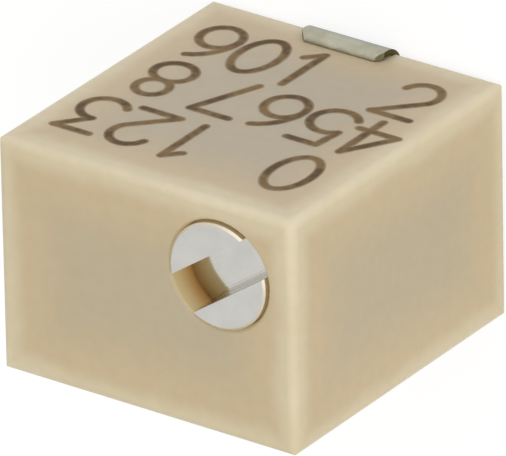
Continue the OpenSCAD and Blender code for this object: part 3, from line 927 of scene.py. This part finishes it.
class TRIMMER_OT_worm_wheel(bpy.types.Operator):
    """Gives the worm wheel its moulded plastic"""
    bl_idname = "trimmer.worm_wheel"
    bl_label = "Worm wheel"

    def execute(self, context):
        plastic = plain_material("wheel_plastic", context.scene.trimmer_inside.wheel,
                                 roughness=0.5, contrast=0.06, scale=4.0, relief=0.003)
        dress(plastic, "worm_wheel")
        return {"FINISHED"}


class TRIMMER_OT_element(bpy.types.Operator):
    """Finishes the ceramic substrate and its printed tracks"""
    bl_idname = "trimmer.element"
    bl_label = "Element"

    def execute(self, context):
        inside = context.scene.trimmer_inside
        ceramic = plain_material("alumina", inside.alumina,
                                 roughness=0.55, contrast=0.07, scale=12.0, relief=0.002)
        resistor = plain_material("resistor_print", inside.resistor,
                                  roughness=0.35, contrast=0.3, scale=20.0, relief=0.004)
        conductor = plain_material("conductor_print", inside.conductor,
                                   roughness=0.4, contrast=0.2, scale=20.0, relief=0.003)
        dress(ceramic, "substrate")
        dress(resistor, "resistive_track")
        dress(conductor, "collector_track", "end_track_1", "end_track_3")
        return {"FINISHED"}


# Stage

class StageSettings(bpy.types.PropertyGroup):
    """Camera, lamps and floor."""
    azimuth: angle("Azimuth", "Camera's place round the part, 0 in front of it", -49.0)
    elevation: angle("Elevation", "Camera's height over the board", 46.59)
    roll: angle("Roll", "Turn of the camera about its own line of sight", -123.42)
    distance: length("Distance", "Camera's distance from the part", 188.42)
    aim_height: length("Aim height", "Height over the board that the camera aims at", 2.55)
    shift_right: length("Aim to the right", "Shift of the aim along the picture's width", -0.011)
    shift_up: length("Aim up", "Shift of the aim along the picture's height", -0.03)
    lens: FloatProperty(
        name="Lens", description="Focal length of the camera", default=1000.0, unit="CAMERA")
    floor: paint("Floor", "Colour of the floor", 244, 243, 241)
    floor_gap: length("Floor gap", "Hair's breadth between the feet and the floor", 0.01)
    world_light: FloatProperty(
        name="World", description="Strength of the light from all round", default=0.71)
    key_light: FloatProperty(
        name="Key lamp", description="Light of the key lamp on a facing surface", default=0.3)
    fill_light: FloatProperty(
        name="Fill lamp", description="Light of the fill lamp on a facing surface", default=0.16)


FLOOR_HALF = 1.0
# Strength of the white that brightens the floor for the camera, and its share
FLOOR_GLOW = 1.09
FLOOR_VEIL = 0.75
# Distance of a lamp from the part, and the lamp's side
LAMP_REACH = 0.12
LAMP_SIZE = 0.09
# Tone of the fill lamp
COOL = (0.92, 0.97, 1)
# Width of the camera's sensor in millimetres, and its nearest and farthest view in metres
SENSOR_WIDTH = 36
VIEW_START = 0.01
VIEW_END = 10


def direction(azimuth, elevation):
    """Unit vector from the part towards a place round it."""
    level = math.cos(elevation)
    return Vector((math.sin(azimuth) * level, -math.cos(azimuth) * level, math.sin(elevation)))


def seen_light(shader, plain, seen):
    """Shader that is plain for light itself, and seen for the camera, mirrors and glass."""
    camera, glossy, through = (
        shader.node("ShaderNodeLightPath", output=name)
        for name in ("Is Camera Ray", "Is Glossy Ray", "Is Transmission Ray"))
    factor = camera.math("MAXIMUM", glossy).math("MAXIMUM", through)
    return shader.node("ShaderNodeMixShader", None, {0: factor, 1: plain, 2: seen})


def make_world(scene, settings):
    """White studio that lights the part evenly from all round."""
    scene.world = bpy.data.worlds.new("studio")
    shader = Shader(scene.world)
    lit, seen = (
        shader.node("ShaderNodeBackground", None, {"Color": WHITE, "Strength": strength})
        for strength in (settings.world_light, 1.0))
    shader.node("ShaderNodeOutputWorld", None, {"Surface": seen_light(shader, lit, seen)})


def make_floor(scene, settings):
    """Pale floor that keeps the part's shadow and looks white round it."""
    mesh = bmesh.new()
    bmesh.ops.create_grid(mesh, x_segments=2, y_segments=2, size=FLOOR_HALF)
    data = bpy.data.meshes.new("floor")
    mesh.to_mesh(data)
    mesh.free()
    floor = bpy.data.objects.new("floor", data)
    floor.location.z = CAD_BOUNDS[0].z - settings.floor_gap
    scene.collection.objects.link(floor)
    shader = new_shader("pale_floor")
    plain = shader.node("ShaderNodeBsdfDiffuse", None, {"Color": settings.floor})
    glow = shader.node("ShaderNodeEmission", None, {"Color": WHITE, "Strength": FLOOR_GLOW})
    bright = shader.node("ShaderNodeMixShader", None, {0: FLOOR_VEIL, 1: plain, 2: glow})
    shader.node("ShaderNodeOutputMaterial", None, {"Surface": seen_light(shader, plain, bright)})
    data.materials.append(shader.owner)


def make_lamp(scene, name, azimuth, elevation, light, colour):
    """Square lamp. Light is how bright it makes a white surface that faces it."""
    centre = Vector((0, 0, CAD_BOUNDS[1].z / 2))
    lamp = bpy.data.lights.new(name, "AREA")
    lamp.size = LAMP_SIZE
    lamp.color = colour
    lamp.energy = light * math.pi ** 2 * LAMP_REACH ** 2
    lamp_object = bpy.data.objects.new(name, lamp)
    way = direction(math.radians(azimuth), math.radians(elevation))
    lamp_object.location = centre + way * LAMP_REACH
    lamp_object.rotation_euler = way.to_track_quat("Z", "Y").to_euler()
    scene.collection.objects.link(lamp_object)


def make_camera(scene, settings):
    """Camera that looks at the part, turned about its own line of sight."""
    back = direction(settings.azimuth, settings.elevation)
    level_up = (Vector((0, 0, 1)) - back * back.z).normalized()
    level_right = level_up.cross(back)
    right = math.cos(settings.roll) * level_right + math.sin(settings.roll) * level_up
    up = math.cos(settings.roll) * level_up - math.sin(settings.roll) * level_right
    aim = Vector((0, 0, settings.aim_height))
    aim += right * settings.shift_right + up * settings.shift_up
    data = bpy.data.cameras.new("camera")
    data.lens = settings.lens
    data.sensor_width = SENSOR_WIDTH
    data.clip_start = VIEW_START
    data.clip_end = VIEW_END
    camera = bpy.data.objects.new("camera", data)
    turn = Matrix((right, up, back)).transposed().to_4x4()
    camera.matrix_world = Matrix.Translation(aim + back * settings.distance) @ turn
    scene.collection.objects.link(camera)
    scene.camera = camera


class TRIMMER_OT_stage(bpy.types.Operator):
    """Makes the floor, world, lamps and camera"""
    bl_idname = "trimmer.stage"
    bl_label = "Stage"

    def execute(self, context):
        scene = context.scene
        settings = scene.trimmer_stage
        make_world(scene, settings)
        make_floor(scene, settings)
        make_lamp(scene, "key", azimuth=-80, elevation=45, light=settings.key_light, colour=WHITE)
        make_lamp(scene, "fill", azimuth=-10, elevation=30, light=settings.fill_light, colour=COOL)
        make_camera(scene, settings)
        scene.view_settings.view_transform = "Standard"
        return {"FINISHED"}


# Panel and registration

PROPERTY_GROUPS = {
    "trimmer_housing": HousingSettings,
    "trimmer_marking": MarkingSettings,
    "trimmer_metal": MetalSettings,
    "trimmer_inside": InsideSettings,
    "trimmer_stage": StageSettings,
}
OPERATORS = (
    TRIMMER_OT_housing, TRIMMER_OT_marking, TRIMMER_OT_screw, TRIMMER_OT_terminals,
    TRIMMER_OT_clip, TRIMMER_OT_wiper, TRIMMER_OT_sealing, TRIMMER_OT_seal_ring,
    TRIMMER_OT_worm_wheel, TRIMMER_OT_element, TRIMMER_OT_stage,
)


class TRIMMER_PT_panel(bpy.types.Panel):
    """Lists the operators and their settings"""
    bl_idname = "TRIMMER_PT_panel"
    bl_label = "Trimmer"
    bl_space_type = "VIEW_3D"
    bl_region_type = "UI"
    bl_category = "Trimmer"

    def draw(self, context):
        for operator in OPERATORS:
            self.layout.operator(operator.bl_idname)
        for name, group in PROPERTY_GROUPS.items():
            box = self.layout.box()
            for prop in group.__annotations__:
                box.prop(getattr(context.scene, name), prop)


def register():
    """Adds the classes, and one group of settings of each kind to every scene."""
    for cls in (*PROPERTY_GROUPS.values(), *OPERATORS, TRIMMER_PT_panel):
        bpy.utils.register_class(cls)
    for name, group in PROPERTY_GROUPS.items():
        setattr(bpy.types.Scene, name, PointerProperty(type=group))


def unregister():
    """Takes away what register() added."""
    for name in PROPERTY_GROUPS:
        delattr(bpy.types.Scene, name)
    for cls in (TRIMMER_PT_panel, *OPERATORS[::-1], *PROPERTY_GROUPS.values()):
        bpy.utils.unregister_class(cls)


def main():
    """Runs every operator once on the loaded frame."""
    register()
    for operator in OPERATORS:
        group, name = operator.bl_idname.split(".")
        getattr(getattr(bpy.ops, group), name)()


if __name__ == "__main__":
    main()
